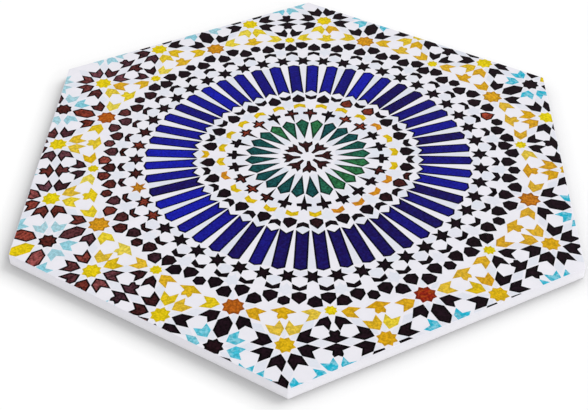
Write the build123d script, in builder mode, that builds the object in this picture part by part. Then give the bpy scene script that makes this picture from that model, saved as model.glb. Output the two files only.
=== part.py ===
"""Hexagonal wall tile cut from one sheet of rigid white foamed PVC and printed on its upper face."""

import os

from build123d import *

# Driving dimensions, in millimetres
across_flats = 220.0  # from one straight side to the side opposite
board_thickness = 5.0  # stock gauge of the sheet
corner_radius = 0.5  # upright corners, as the cutter leaves them
printed_rim_radius = 0.2  # the rim of the printed face, eased so that the ink doesn't chip
back_rim_radius = 0.1  # the rim of the back, only freed of its burr

os.makedirs("parts", exist_ok=True)

# The tile lies on its back: the glued face is on Z = 0 and the printed face looks up.
with BuildPart() as tile:
    # Two corners of the hexagon lie on the Y axis, so two of its sides cross the X axis.
    with BuildSketch(Plane.XY) as outline:
        RegularPolygon(radius=across_flats / 2, side_count=6, major_radius=False, rotation=30)
        fillet(outline.vertices(), radius=corner_radius)
    extrude(amount=board_thickness)
    fillet(tile.faces().sort_by(Axis.Z).last.edges(), radius=printed_rim_radius)
    fillet(tile.faces().sort_by(Axis.Z).first.edges(), radius=back_rim_radius)

tile.part.label = "tile"
export_step(tile.part, "parts/tile.step")
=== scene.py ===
"""Looks of a hexagonal wall tile: white foamed PVC board, printed with a round zellige rosette."""

import cmath
import math
import random
from collections import namedtuple

import bmesh
import bpy
from mathutils import Matrix, Vector


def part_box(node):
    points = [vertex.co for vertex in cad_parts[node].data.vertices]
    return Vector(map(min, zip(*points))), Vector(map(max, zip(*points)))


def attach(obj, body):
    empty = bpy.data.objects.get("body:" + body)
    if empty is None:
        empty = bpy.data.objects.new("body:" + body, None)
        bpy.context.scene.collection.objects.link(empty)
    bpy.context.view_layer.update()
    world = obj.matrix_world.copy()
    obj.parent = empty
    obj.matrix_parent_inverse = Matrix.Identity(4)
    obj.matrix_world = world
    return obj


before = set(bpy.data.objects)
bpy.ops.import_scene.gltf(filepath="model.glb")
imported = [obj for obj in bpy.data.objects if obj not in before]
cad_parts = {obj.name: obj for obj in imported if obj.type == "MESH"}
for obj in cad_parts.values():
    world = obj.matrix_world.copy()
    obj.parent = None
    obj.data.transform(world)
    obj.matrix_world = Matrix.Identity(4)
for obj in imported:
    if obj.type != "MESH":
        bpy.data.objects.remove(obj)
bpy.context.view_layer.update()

MM = 0.001
scene = bpy.context.scene
tile_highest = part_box("tile")[1]
printed_face = tile_highest.z
corner_reach = tile_highest.y / MM  # from the tile's centre to a corner, in millimetres
side_reach = tile_highest.x / MM  # from the tile's centre square to a side, in millimetres


# The drawing
# Its points are complex numbers in millimetres from the rosette's centre. The real part runs outward
# along the axis of a rust star, and the imaginary part runs across that axis.

rosette_centre = complex(3.1, 1.1)  # from the tile's centre
rosette_turn = 29.5  # degrees from the tile's +X to the first axis
wobble = 0.07  # how far a hand-cut corner strays
crooked = 1.2  # how many degrees a piece is laid askew
# How far the old wall's mosaic has slipped outward (real part) and across, in millimetres, at sixteen
# places round it.
heart_slips = (
    0.2, -0.2, -0.3, 0.2j, -0.3 + 0.3j, -0.2 + 0.3j, 0.2j, -0.2 + 0.2j,
    -0.25 + 0.25j, -0.2 + 0.2j, 0.3 + 0.1j, 0.25 - 0.5j, -0.4 - 0.5j, -0.9 - 0.2j, -0.45, -0.05,
)
band_slips = (0.8, 1.1, 0.6, 0.4, 0.5, 0.25, -0.6, -0.9, 0.0, -0.9, -0.9, 0.0, -0.7, 0.1, 0.5, 1.0)
heart_start, band_start, band_full = 25.0, 65.0, 100.0  # the radii where those slips set in
chance = random.Random(11)

Piece = namedtuple("Piece", "ink outline share")
drawn = []


def polar(radius, degrees):
    return cmath.rect(radius, math.radians(degrees))


def mirrored(*half):
    """Closes an outline from one half of it, given as (out, across) points from the inner end outward."""
    near = [complex(*point) for point in half]
    return near + [point.conjugate() for point in reversed(near) if point.imag]


def shaft(width, shoulder, tail, end):
    """The mosaic's commonest cut: two straight sides, and a point or a notch in the middle of each end."""
    return mirrored((0, 0), (shoulder, width), (tail, width), (end, 0))


def star(points, radius, fullness=1.0):
    """A star of two crossed polygons, with one point outward. Less fullness makes its points thinner."""
    notch = fullness * radius * math.cos(2 * math.pi / points) / math.cos(math.pi / points)
    return [polar(notch if step % 2 else radius, 180 * step / points) for step in range(2 * points)]


def placed(outline, at, heading=0.0):
    """The outline with its origin moved to a point of the drawing, turned to a heading in degrees."""
    turn = polar(1, heading)
    return [at + point * turn for point in outline]


def slip_at(point, slips):
    """The slip in a point's direction, between those at the places before and after it."""
    places = len(slips)
    step = math.degrees(cmath.phase(point)) * places / 360
    before = math.floor(step)
    after_share = step - before
    return (1 - after_share) * slips[before % places] + after_share * slips[(before + 1) % places]


def slipped(point):
    """Where a point of the drawing lies on the old wall, whose rings aren't quite round."""
    radius = abs(point)
    heart_share = min(radius / heart_start, 1)
    band_share = min(max((radius - band_start) / (band_full - band_start), 0), 1)
    heart_slip = heart_share * slip_at(point, heart_slips)
    slip = (1 - band_share) * heart_slip + band_share * slip_at(point, band_slips)
    return point * (1 + slip / radius)


def ring(ink, count, first, radius, outline, share=None, odd=()):
    """Repeats an outline round the rosette, facing outward. Odd ones have an ink and tone of their own."""
    strays = {step: (odd_ink, odd_share) for odd_ink, odd_share, steps in odd for step in steps}
    for step in range(count):
        angle = first + step * 360 / count
        piece_ink, piece_share = strays.get(step, (ink, share))
        drawn.append(Piece(piece_ink, placed(outline, polar(radius, angle), angle), piece_share))


def eightfold(ink, outline, both_hands=True, shares=(None,) * 8):
    """Repeats an outline at the eight axes, with its mirror image too where it stands beside the axis."""
    for axis, share in enumerate(shares):
        turn = polar(1, 45 * axis)
        drawn.append(Piece(ink, [point * turn for point in outline], share))
        if both_hands:
            drawn.append(Piece(ink, [point.conjugate() * turn for point in outline], share))


def draw_heart():
    """The middle of the rosette, as far as the ring of crescents."""
    trident = mirrored((3.2, 0.4), (6.2, 0.9), (8.3, 2.7), (10.2, 2.75), (9.1, 1.0), (10.7, 0))
    ring("print_dark", 8, 22.5, 0, trident, share=0.22)
    ring("print_pale", 8, 0, 0, mirrored((4.2, 0), (5.8, 0.85), (7.8, 0)))
    kite = mirrored((0, 0), (11.2, 2.85), (14.1, 0))
    green_kites = [("print_green", 0.85, (3, 6, 18, 19, 20, 21)), ("print_green", 0.5, (4, 5, 17, 22))]
    ring("print_green", 24, 7.5, 12.7, kite, odd=green_kites)
    ring("print_pale", 12, 15, 0, mirrored((12.0, 1.2), (13.2, 1.5), (25.2, 0.25)))
    vase = mirrored(
        (27.4, 0), (25.7, 2.4), (29.9, 3.0), (30.4, 1.1), (32.2, 1.1), (32.6, 2.6), (35.1, 2.4), (36.2, 0)
    )
    ring("print_pale", 12, 7.5, 0, vase)
    dart = mirrored((26.1, 0), (30.3, 0.75), (30.6, 2.8), (31.9, 2.9), (32.2, 1.05), (34.3, 1.1), (33.5, 0))
    red_darts = [("print_dark", 0.75, (1, 2, 7, 8, 13)), ("print_dark", 0.4, (4, 5, 12, 14, 21))]
    ring("print_dark", 24, 0, 0, dart, odd=red_darts)
    orange_chevrons = [("print_yellow", -0.3, (0, 11, 17, 18, 19, 20))]
    ring("print_yellow", 24, 7.5, 36.4, shaft(2.4, -1.1, 1.1, 2.2), share=0.85, odd=orange_chevrons)
    ring("print_pale", 12, 15, 38.4, star(6, 3.9))
    red_drops = [("print_dark", 0.65, (1, 2)), ("print_dark", 0.3, (20,)), ("print_dark", 0.15, (16, 19))]
    ring("print_dark", 24, 7.5, 39.4, shaft(2.55, 1.1, 3.4, 6.2), odd=red_drops)
    crescent = mirrored((0, 0), (1.0, 2.1), (3.3, 2.4), (2.1, 0))
    odd_crescents = [("print_yellow", 0.5, (10,)), ("print_dark", 0.35, (21,))]
    ring("print_dark", 24, 0, 41.8, crescent, odd=odd_crescents)
    ring("print_pale", 12, 0, 44.2, mirrored((0, 0), (0.9, 2.2), (2.5, 2.5), (4.4, 0)))
    ring("print_pale", 12, 7.5, 45.8, mirrored((0, 0), (-2.0, 2.3), (0.8, 2.6), (3.1, 0)))


def draw_bars():
    """The great ring of blue bars, and the small dark pieces that stand round it."""
    ring("print_pale", 24, 3.75, 49.0, mirrored((0, 0), (19.4, 1.9)))
    bar_tones = [
        ("print_blue", 0.3, (2, 3, 23, 29, 31, 32, 33, 34, 35, 36, 37, 39, 41, 46)),
        ("print_blue", 0.6, (0, 1, 6, 9, 11, 16, 28, 30, 38, 40, 44, 45)),
        ("print_blue", 1.1, (5, 14, 20, 21, 24, 25)),
    ]
    ring("print_blue", 48, 0, 49.2, shaft(2.5, -2.1, 19.1, 20.1), share=0.85, odd=bar_tones)
    ring("print_pale", 24, 0, 69.8, mirrored((0, 0), (-0.6, 2.3), (1.25, 2.55), (2.6, 1.7)))
    warm_stars = [("print_dark", 0.7, (19, 23, 24)), ("print_rust", 0.3, (22,))]
    ring("print_dark", 48, 3.75, 72.8, placed(star(6, 3.5, fullness=0.9), 0, 30), odd=warm_stars)
    ring("print_pale", 24, 7.5, 73.2, mirrored((0, 1.9), (3.1, 2.7), (5.2, 0)))
    ring("print_dark", 48, 0, 78.9, shaft(2.6, -1.6, 0.6, 1.6))
    ring("print_pale", 24, 11.25, 80.2, star(6, 3.7))
    ring("print_dark", 48, 0, 81.2, shaft(2.65, 1.0, 3.4, 6.2), odd=[("print_dark", 0.9, (47,))])
    hexagon = [polar(2.45, 60 * corner) for corner in range(6)]
    ring("print_dark", 16, 11.25, 86.0, hexagon)


def draw_stars():
    """The network of eight-pointed stars, each one set in a wreath of petals, that fills the outer band."""
    petal = shaft(2.7, 2.65, 7.15, 5.0)
    short_petal = shaft(2.65, 2.6, 6.7, 4.7)
    shield = shaft(2.55, 2.5, 5.2, 6.1)
    long_hexagon = shaft(2.75, 2.8, 8.1, 10.9)
    fleur = mirrored((0, 0), (2.0, 4.5), (3.25, 1.5), (4.95, 1.95), (6.0, 1.35), (5.3, 0))
    lozenge = mirrored((-3.65, 0), (0, 2.0), (3.65, 0))
    ray = mirrored((0, 0), (2.3, 1.1), (5.4, 0))
    gaps = [22.5 + 45 * step for step in range(8)]

    def wreath(ink, star_at, gap, outline, *headings):
        """Petals that point at a star, from each of the headings."""
        for heading in headings:
            eightfold(ink, placed(outline, star_at + polar(gap, heading), heading))

    # The rust stars stand on the axes, each with its own redness.
    rust = complex(93.4, 0)
    wreath("print_pale", rust, 3.6, ray, *gaps[:4])
    redness = (0.05, 0.17, 0.22, 0.65, 0.15, 0.6, 1.05, 0.42)
    eightfold("print_rust", placed(star(8, 4.4), rust), both_hands=False, shares=redness)
    wreath("print_yellow", rust, 5.2, short_petal, 85)
    leaning_petal = [0, 3.0 - 2.65j, 7.5 - 1.9j, 5.1 + 0.2j, 6.1 + 2.75j, 3.0 + 2.7j]
    eightfold("print_dark", placed(leaning_petal, complex(97.4, -3.7), -45))
    wreath("print_dark", rust, 5.4, shield, 138)
    eightfold("print_dark", placed(long_hexagon, 98.9), both_hands=False)

    # Outside them, at the tile's edge, come the dark stars.
    dark = complex(114.4, 0)
    wreath("print_pale", dark, 3.3, ray, *gaps[:4])
    brownness = (0.05, 0.05, 0.1, 0.4, 0.42, 0.08, 0.05, 0.05)
    eightfold("print_dark", placed(star(8, 3.75), dark), both_hands=False, shares=brownness)
    wreath("print_turquoise", dark, 5.2, shaft(2.6, 2.5, 6.2, 4.4), 90, 135)
    wreath("print_dark", dark, 5.1, long_hexagon, 45)
    eightfold("print_yellow", placed(long_hexagon, dark + 5.4), both_hands=False, shares=(1.0,) * 8)

    # A large yellow star stands to each side of every axis, each with its own brightness.
    yellow = complex(105.5, 24.0)
    wreath("print_pale", yellow, 3.2, ray, *gaps)
    all_but_inward = gaps[:4] + gaps[5:]
    wreath("print_pale", yellow, 13.0, lozenge, *all_but_inward)
    for star_at, brightness in (
        (yellow, (1.15, 1.0, 1.1, 1.1, 1.05, 0.55, 0.6, 0.5)),
        (yellow.conjugate(), (1.25, 1.0, 1.1, 1.15, 1.2, 1.0, 0.28, 0.33)),
    ):
        eightfold("print_yellow", placed(star(8, 3.7), star_at), both_hands=False, shares=brightness)
    wreath("print_dark", yellow, 4.75, petal, -90, -45, 0, 45, 90, 135)
    wreath("print_yellow", yellow, 4.9, short_petal, 178, -139)
    eightfold("print_yellow", placed(fleur, polar(89.6, 11.5), 11.5))

    # Half-way between two axes stands a small yellow star, with a pair of fleurs back to back outside it.
    small = polar(90.8, 22.5)
    eightfold("print_yellow", placed(star(8, 2.3), small), both_hands=False, shares=(1.15,) * 8)
    wreath("print_pale", small, 2.1, mirrored((0, 0), (1.4, 0.7), (3.2, 0)), -22.5, -67.5, -112.5)
    flared_petal = mirrored((0, 0), (2.5, 2.15), (6.2, 2.6), (4.5, 0))
    wreath("print_dark", small, 3.4, flared_petal, -4)
    wreath("print_yellow", small, 3.85, shaft(2.5, 2.4, 6.5, 4.2), -55)
    wreath("print_dark", small, 3.65, shield, -109)
    eightfold("print_dark", placed(fleur, polar(106.8, 22.5), 202.5), both_hands=False)
    eightfold("print_dark", placed(fleur, polar(107.3, 22.5), 22.5), both_hands=False)

    # Past the large yellow stars the network is folded over, and its petals are turquoise.
    for fold, outline in (
        (106.0, placed(short_petal, rust + polar(5.2, 85), 85)),
        (106.2, placed(short_petal, rust + polar(5.1, 40), 40)),
        (107.0, placed(flared_petal, small + polar(3.0, -4), -4)),
        (107.0, placed(flared_petal, small + polar(3.85, -55), -55)),
    ):
        along_fold = [point * polar(1, -22.5) for point in outline]
        folded = [complex(2 * fold - point.real, point.imag) for point in along_fold]
        eightfold("print_turquoise", placed(folded, 0, 22.5))

    # Two pieces stand at the tile's near corner alone.
    near_corner = polar(1, 247.5)
    for ink, outline in (
        ("print_dark", placed(short_petal, complex(127.4, -19.4), 210)),
        ("print_turquoise", placed(shaft(2.6, 2.5, 5.6, 4.2), complex(128.1, -17.0), 150)),
    ):
        drawn.append(Piece(ink, [point * near_corner for point in outline], None))


# The inks
# Each ink runs from its base tone to a warm or a cool one, as the glazes of the old wall did. Colours are
# screen levels from 0 to 255, and lengths are millimetres.
# height, gain: how thick the film is, and how far the ink spreads past its outline
# rim, grain, clouding: how strong the dark seam, the fine grain and the blotches are
# middle, scatter: the usual share of the warm or cool tone, and how far a piece strays from it
# toward, drift, most: where on the tile that share grows, in degrees, how fast, and how far

Ink = namedtuple(
    "Ink",
    "base warm cool blotch height gain rim grain clouding middle scatter toward drift most",
    defaults=(0.5, 0.0, 0.0, 0.0, 1.0),
)
inks = {
    "print_pale": Ink(
        base=(214, 219, 231), warm=(225, 225, 233), cool=(221, 225, 234), blotch=(226, 225, 233),
        height=0.02, gain=0.0, rim=0.0, grain=0.015, clouding=0.3,
        middle=0.85, scatter=0.3,
    ),
    "print_blue": Ink(
        base=(25, 8, 52), warm=(24, 25, 150), cool=(24, 25, 150), blotch=(24, 56, 170),
        height=0.03, gain=0.25, rim=0.9, grain=0.22, clouding=0.08,
    ),
    "print_green": Ink(
        base=(18, 72, 78), warm=(48, 116, 62), cool=(34, 106, 68), blotch=(10, 44, 48),
        height=0.03, gain=0.05, rim=0.75, grain=0.5, clouding=0.4,
        middle=0.12, scatter=0.5,
    ),
    "print_dark": Ink(
        base=(20, 8, 17), warm=(164, 66, 42), cool=(136, 82, 92), blotch=(8, 2, 4),
        height=0.03, gain=0.2, rim=0.97, grain=0.6, clouding=0.3,
        middle=-1.0, scatter=0.25, toward=187, drift=2.5, most=0.6,
    ),
    "print_yellow": Ink(
        base=(202, 142, 22), warm=(216, 190, 14), cool=(224, 208, 90), blotch=(208, 164, 36),
        height=0.03, gain=0.18, rim=0.08, grain=0.22, clouding=0.2,
        middle=0.58, scatter=0.45, toward=170, drift=0.4,
    ),
    "print_rust": Ink(
        base=(213, 164, 28), warm=(140, 38, 18), cool=(140, 38, 18), blotch=(188, 104, 18),
        height=0.03, gain=0.08, rim=0.3, grain=0.3, clouding=0.25,
    ),
    "print_turquoise": Ink(
        base=(32, 174, 202), warm=(168, 202, 211), cool=(150, 196, 209), blotch=(150, 200, 212),
        height=0.03, gain=0.1, rim=0.0, grain=0.15, clouding=0.6,
        middle=0.3, scatter=0.2, toward=165, drift=1.0,
    ),
}
least_share = 0.03  # of the warm or cool tone


def light_of(level):
    """The light that a screen level from 0 to 255 stands for, by the usual screen curve."""
    if level > 10:
        return ((level / 255 + 0.055) / 1.055) ** 2.4
    return level / 255 / 12.92


def linear(*levels):
    """A colour given in screen levels, as the shader takes it."""
    return [light_of(level) for level in levels] + [1.0]


def between(first, second, share):
    """A colour between two others."""
    return [a + (b - a) * share for a, b in zip(first, second)]


def tone(ink, share, centre):
    """The colour of one piece, from where it lies on the tile and from chance."""
    if share is None:
        lean = (centre * polar(1, -ink.toward)).real / corner_reach
        usual = min(max(ink.middle + ink.drift * lean, least_share), ink.most)
        share = min(usual * chance.lognormvariate(0, ink.scatter), 1.0)
        glaze = between(ink.warm, ink.cool, chance.random())
    else:
        glaze = ink.warm
    return linear(*between(ink.base, glaze, share))


# The ink films
# Each ink is one mesh of flat closed films that lie on the printed face and are cut off at its rim.

film_root = 0.01  # how far a film reaches into the board, so that no gap shows under it
seam_widths = (0.9, 0.6, 0.35)  # the darker seam inside a piece's outline, narrower in thin pieces
sharpest = 0.02  # a corner nearer than this to doubling back can't be drawn in
eased_rim = 0.2  # the rounded rim of the board, where the print ends
print_reach = side_reach - eased_rim
least_depth = 0.4  # a piece that reaches less far over the rim is left off
map_margin = 1.01  # of the flat map round the tile


def on_tile(outline):
    """The outline in millimetres from the tile's centre, laid by hand, running counter-clockwise."""
    outline = [slipped(point) for point in outline]
    middle = sum(outline) / len(outline)
    turn = polar(1, chance.gauss(0, crooked / 2))
    laid = []
    for point in outline:
        stray = complex(chance.gauss(0, wobble), chance.gauss(0, wobble))
        laid.append(rosette_centre + (middle + (point - middle) * turn + stray) * polar(1, rosette_turn))
    following = laid[1:] + laid[:1]
    doubled_area = sum((here.conjugate() * after).imag for here, after in zip(laid, following))
    return laid if doubled_area > 0 else laid[::-1]


def inset(outline, depth):
    """The outline drawn in by a depth, or None where the piece is too narrow for that."""
    before_each = outline[-1:] + outline[:-1]
    after_each = outline[1:] + outline[:1]
    inner = []
    for before, here, after in zip(before_each, outline, after_each):
        came = (here - before) / abs(here - before)
        goes = (after - here) / abs(after - here)
        straightness = 1 + (came.conjugate() * goes).real
        if straightness < sharpest:
            return None
        inner.append(here + 1j * (came + goes) * depth / straightness)
    for here, after, new, new_after in zip(outline, after_each, inner, inner[1:] + inner[:1]):
        if ((after - here).conjugate() * (new_after - new)).real <= 0:
            return None
    return inner


def depth_on_face(point):
    """How far inside the rim of the print a point lies."""
    return print_reach - max((point * polar(1, -60 * side)).real for side in range(6))


def add_film(bm, layers, outline, colour, height):
    """Adds the upper face of one piece, with a rim that the material can darken."""
    ink_layer, edge_layer = layers

    def corners(points, edge):
        made = []
        for point in points:
            vert = bm.verts.new((point.real * MM, point.imag * MM, printed_face + height * MM))
            vert[ink_layer] = colour
            vert[edge_layer] = edge
            made.append(vert)
        return made

    outer_corners = corners(outline, 1.0)
    insets = [inner for inner in (inset(outline, width) for width in seam_widths) if inner]
    if not insets:
        bm.faces.new(outer_corners)
        return
    inner_corners = corners(insets[0], 0.0)
    bm.faces.new(inner_corners)
    for here in range(len(outline)):
        outer_pair = outer_corners[here - 1], outer_corners[here]
        inner_pair = inner_corners[here], inner_corners[here - 1]
        bm.faces.new(outer_pair + inner_pair)


def cut_at_rim(bm):
    """Cuts off what lies outside the flat of the printed face."""
    for side in range(6):
        direction = polar(1, 60 * side)
        outward = Vector((direction.real, direction.imag, 0))
        rim = outward * print_reach * MM
        everything = bm.verts[:] + bm.edges[:] + bm.faces[:]
        bmesh.ops.bisect_plane(bm, geom=everything, plane_co=rim, plane_no=outward, clear_outer=True)


def close_below(bm, height):
    """Gives the films their thickness."""
    copied = bmesh.ops.extrude_face_region(bm, geom=bm.faces[:], use_keep_orig=True)
    lower = [item for item in copied["geom"] if isinstance(item, bmesh.types.BMVert)]
    bmesh.ops.translate(bm, verts=lower, vec=(0, 0, -(height + film_root) * MM))
    bmesh.ops.recalc_face_normals(bm, faces=bm.faces[:])


def lay_flat_map(bm):
    """A map that looks straight down on the tile."""
    uv_layer = bm.loops.layers.uv.new("OFBake")
    span = 2 * map_margin * corner_reach * MM
    for face in bm.faces:
        for loop in face.loops:
            loop[uv_layer].uv = (0.5 + loop.vert.co.x / span, 0.5 + loop.vert.co.y / span)


def print_ink(name, ink):
    """All the pieces of one ink, as one mesh."""
    bm = bmesh.new()
    layers = bm.verts.layers.float_color.new("ink"), bm.verts.layers.float.new("edge")
    for piece in drawn:
        if piece.ink != name:
            continue
        outline = on_tile(piece.outline)
        outline = inset(outline, -ink.gain) or outline
        colour = tone(ink, piece.share, sum(outline) / len(outline))
        if max(depth_on_face(point) for point in outline) > least_depth:
            add_film(bm, layers, outline, colour, ink.height)
    bm.normal_update()
    bmesh.ops.triangulate(bm, faces=bm.faces[:])
    cut_at_rim(bm)
    close_below(bm, ink.height)
    lay_flat_map(bm)
    mesh = bpy.data.meshes.new(name)
    bm.to_mesh(mesh)
    bm.free()
    film = bpy.data.objects.new(name, mesh)
    scene.collection.objects.link(film)
    film.data.materials.append(ink_material(name, ink))
    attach(film, "root")


# The materials


class Shader:
    """A material's node tree, with short ways to add what the surfaces here need."""

    def __init__(self, name):
        self.material = bpy.data.materials.new(name)
        self.material.use_nodes = True
        self.tree = self.material.node_tree
        self.surface = self.tree.nodes["Principled BSDF"]
        self.place = self.tree.nodes.new("ShaderNodeTexCoord").outputs["Object"]

    def link(self, source, socket):
        self.tree.links.new(source, socket)

    def noise(self, size_mm, detail=3.0):
        """Clouds whose patches are about this large."""
        node = self.tree.nodes.new("ShaderNodeTexNoise")
        node.inputs["Scale"].default_value = 1 / (size_mm * MM)
        node.inputs["Detail"].default_value = detail
        self.link(self.place, node.inputs["Vector"])
        return node.outputs["Fac"]

    def spread(self, source, low, high, to_low, to_high):
        """Stretches a value from one range to another."""
        node = self.tree.nodes.new("ShaderNodeMapRange")
        for socket, value in zip(node.inputs[1:5], (low, high, to_low, to_high)):
            socket.default_value = value
        self.link(source, node.inputs["Value"])
        return node.outputs["Result"]

    def mix(self, kind, share, first, second):
        """Mixes two colours, each a socket or a colour, by a share that is a socket or a number."""
        node = self.tree.nodes.new("ShaderNodeMix")
        node.data_type = "RGBA"
        node.blend_type = kind
        for socket, value in zip((node.inputs[0], node.inputs[6], node.inputs[7]), (share, first, second)):
            if isinstance(value, bpy.types.NodeSocket):
                self.link(value, socket)
            else:
                socket.default_value = value
        return node.outputs[2]

    def product(self, first, second):
        """One value times another."""
        node = self.tree.nodes.new("ShaderNodeMath")
        node.operation = "MULTIPLY"
        self.link(first, node.inputs[0])
        self.link(second, node.inputs[1])
        return node.outputs[0]

    def height(self, source):
        """The upward part of a direction or a place."""
        node = self.tree.nodes.new("ShaderNodeSeparateXYZ")
        self.link(source, node.inputs[0])
        return node.outputs["Z"]

    def attribute(self, name, output):
        """What the mesh keeps at its corners under this name."""
        node = self.tree.nodes.new("ShaderNodeAttribute")
        node.attribute_name = name
        return node.outputs[output]

    def bump(self, source, strength, depth_mm):
        """Roughens the surface by a value."""
        node = self.tree.nodes.new("ShaderNodeBump")
        node.inputs["Strength"].default_value = strength
        node.inputs["Distance"].default_value = depth_mm * MM
        self.link(source, node.inputs["Height"])
        self.link(node.outputs["Normal"], self.surface.inputs["Normal"])


def ink_material(name, ink):
    """Satin ink with the clouded glaze of the mosaic pieces that it shows."""
    shader = Shader(name)
    grain = shader.noise(0.9, 3.0)
    clouds = shader.noise(1.8, 4.0)
    clouded = shader.spread(clouds, 0.45, 0.62, 0.0, ink.clouding)
    colour = shader.mix("MIX", clouded, shader.attribute("ink", "Color"), linear(*ink.blotch))
    grey = shader.spread(grain, 0.38, 0.62, 1.0 - ink.grain, 1.0 + ink.grain)
    colour = shader.mix("MULTIPLY", 1.0, colour, grey)
    seam = shader.spread(shader.attribute("edge", "Fac"), 0.1, 0.35, 1.0, 1.0 - ink.rim)
    colour = shader.mix("MULTIPLY", 1.0, colour, seam)
    shader.link(colour, shader.surface.inputs["Base Color"])
    shader.link(shader.spread(grain, 0.3, 0.7, 0.42, 0.54), shader.surface.inputs["Roughness"])
    shader.surface.inputs["Specular IOR Level"].default_value = 0.02
    return shader.material


def board_material():
    """White foamed PVC: a smooth skin, and fine open cells in the cut sides, which carry painted light that
    makes them whiter toward the back.
    """
    shader = Shader("board")
    skin_white, skin_shade = linear(232, 230, 237), linear(228, 227, 234)
    # The second white is painted light, laid on the cut sides low down; the grey is the open cells.
    painted_light_white, pore_grey = linear(246, 245, 249), linear(196, 195, 202)
    skin = shader.noise(6.0)
    cells = shader.noise(0.35, 2.0)
    colour = shader.mix("MIX", shader.spread(skin, 0.35, 0.65, 0.0, 1.0), skin_white, skin_shade)

    # A cut side is where the surface doesn't face up or down.
    normal = shader.tree.nodes.new("ShaderNodeNewGeometry").outputs["Normal"]
    facing = shader.tree.nodes.new("ShaderNodeMath")
    facing.operation = "ABSOLUTE"
    shader.link(shader.height(normal), facing.inputs[0])
    cut = shader.spread(facing.outputs[0], 0.3, 0.9, 1.0, 0.0)
    # Painted light: the cut sides are painted whiter toward the back, to cancel the shade that the darkened
    # floor throws onto their lower part.
    painted_side_light = shader.product(cut, shader.spread(shader.height(shader.place), 0.0, printed_face, 1.0, 0.0))
    colour = shader.mix("MIX", painted_side_light, colour, painted_light_white)
    pores = shader.product(cut, shader.spread(cells, 0.55, 0.75, 0.0, 0.25))
    colour = shader.mix("MIX", pores, colour, pore_grey)

    shader.link(colour, shader.surface.inputs["Base Color"])
    shader.link(shader.spread(skin, 0.3, 0.7, 0.46, 0.56), shader.surface.inputs["Roughness"])
    shader.surface.inputs["Specular IOR Level"].default_value = 0.3
    shader.bump(cells, 0.12, 0.05)
    return shader.material


# The stage: a white floor, soft light and the photograph's camera

pure_white = (1.0, 1.0, 1.0, 1.0)
floor_width = 6.0  # metres
painted_shadow_reach = 11.0  # how far from the tile the painted shadow on the floor reaches, in millimetres
# how strongly the painted shadow darkens the floor next to the tile
painted_shadow_share = 0.84
room_level = 0.60  # the share of white that the room's own light gives
view_azimuth, view_elevation, view_roll = 2.253, 40.54, -0.225  # degrees
view_distance = 467.5  # millimetres
view_aim = (-1.57, -30.56)  # millimetres, on the printed face
picture_width = 588  # pixels
focal_pixels = 1162.0
sensor_width = 36.0  # millimetres
nearest_seen = 0.01  # metres


def lay_floor():
    """A white floor with a painted shadow that darkens it close to the tile."""
    bpy.ops.mesh.primitive_plane_add(size=floor_width)
    floor = bpy.context.object
    floor.name = "floor"
    shader = Shader("floor")
    # Painted shadow: the floor's colour is darkened where the tile stands near, as a contact shadow.
    painted_shadow = shader.tree.nodes.new("ShaderNodeAmbientOcclusion")
    painted_shadow.inputs["Distance"].default_value = painted_shadow_reach * MM
    colour = shader.mix("MIX", painted_shadow_share, pure_white, painted_shadow.outputs["Color"])
    shader.link(colour, shader.surface.inputs["Base Color"])
    shader.surface.inputs["Roughness"].default_value = 1.0
    shader.surface.inputs["Specular IOR Level"].default_value = 0.0
    floor.data.materials.append(shader.material)


def add_sun(name, azimuth, elevation, level, softness):
    """A far lamp. Level is the share of white that it alone gives a surface that faces it."""
    lamp = bpy.data.lights.new(name, "SUN")
    lamp.energy = level * math.pi
    lamp.angle = math.radians(softness)
    sun = bpy.data.objects.new(name, lamp)
    sun.rotation_euler = (math.radians(90 - elevation), 0, math.radians(azimuth + 90))
    scene.collection.objects.link(sun)


def light_room():
    """A plain white room, seen as pure white, and three soft lamps."""
    world = bpy.data.worlds.new("room")
    world.use_nodes = True
    scene.world = world
    nodes, links = world.node_tree.nodes, world.node_tree.links
    room = nodes["Background"]
    room.inputs["Color"].default_value = pure_white
    room.inputs["Strength"].default_value = room_level
    backdrop = nodes.new("ShaderNodeBackground")
    backdrop.inputs["Color"].default_value = pure_white
    rays = nodes.new("ShaderNodeLightPath")
    seen = rays.outputs["Is Camera Ray"]
    for kind in ("Is Glossy Ray", "Is Transmission Ray"):
        sum_of_both = nodes.new("ShaderNodeMath")
        sum_of_both.use_clamp = True
        links.new(seen, sum_of_both.inputs[0])
        links.new(rays.outputs[kind], sum_of_both.inputs[1])
        seen = sum_of_both.outputs[0]
    either = nodes.new("ShaderNodeMixShader")
    links.new(seen, either.inputs["Fac"])
    links.new(room.outputs[0], either.inputs[1])
    links.new(backdrop.outputs[0], either.inputs[2])
    links.new(either.outputs[0], nodes["World Output"].inputs["Surface"])
    add_sun("key", azimuth=42, elevation=38, level=0.59, softness=44)
    add_sun("right_fill", azimuth=-50, elevation=9, level=0.245, softness=30)
    add_sun("left_fill", azimuth=-125, elevation=9, level=0.12, softness=30)


def set_camera():
    """The photograph's camera, aimed at a point of the printed face."""
    across, out = view_aim
    aim = Matrix.Translation((across * MM, out * MM, printed_face))
    heading = Matrix.Rotation(math.radians(view_azimuth), 4, "Z")
    tilt = Matrix.Rotation(math.radians(90 - view_elevation), 4, "X")
    away = Matrix.Translation((0, 0, view_distance * MM))
    roll = Matrix.Rotation(math.radians(view_roll), 4, "Z")
    camera = bpy.data.objects.new("camera", bpy.data.cameras.new("camera"))
    camera.data.sensor_width = sensor_width
    camera.data.lens = focal_pixels / picture_width * sensor_width
    camera.data.clip_start = nearest_seen
    camera.matrix_world = aim @ heading @ tilt @ away @ roll
    scene.collection.objects.link(camera)
    scene.camera = camera


draw_heart()
draw_bars()
draw_stars()
for ink_name, ink_tones in inks.items():
    print_ink(ink_name, ink_tones)
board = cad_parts["tile"]
board.data.materials.clear()
board.data.materials.append(board_material())
lay_floor()
light_room()
set_camera()
scene.view_settings.view_transform = "Standard"
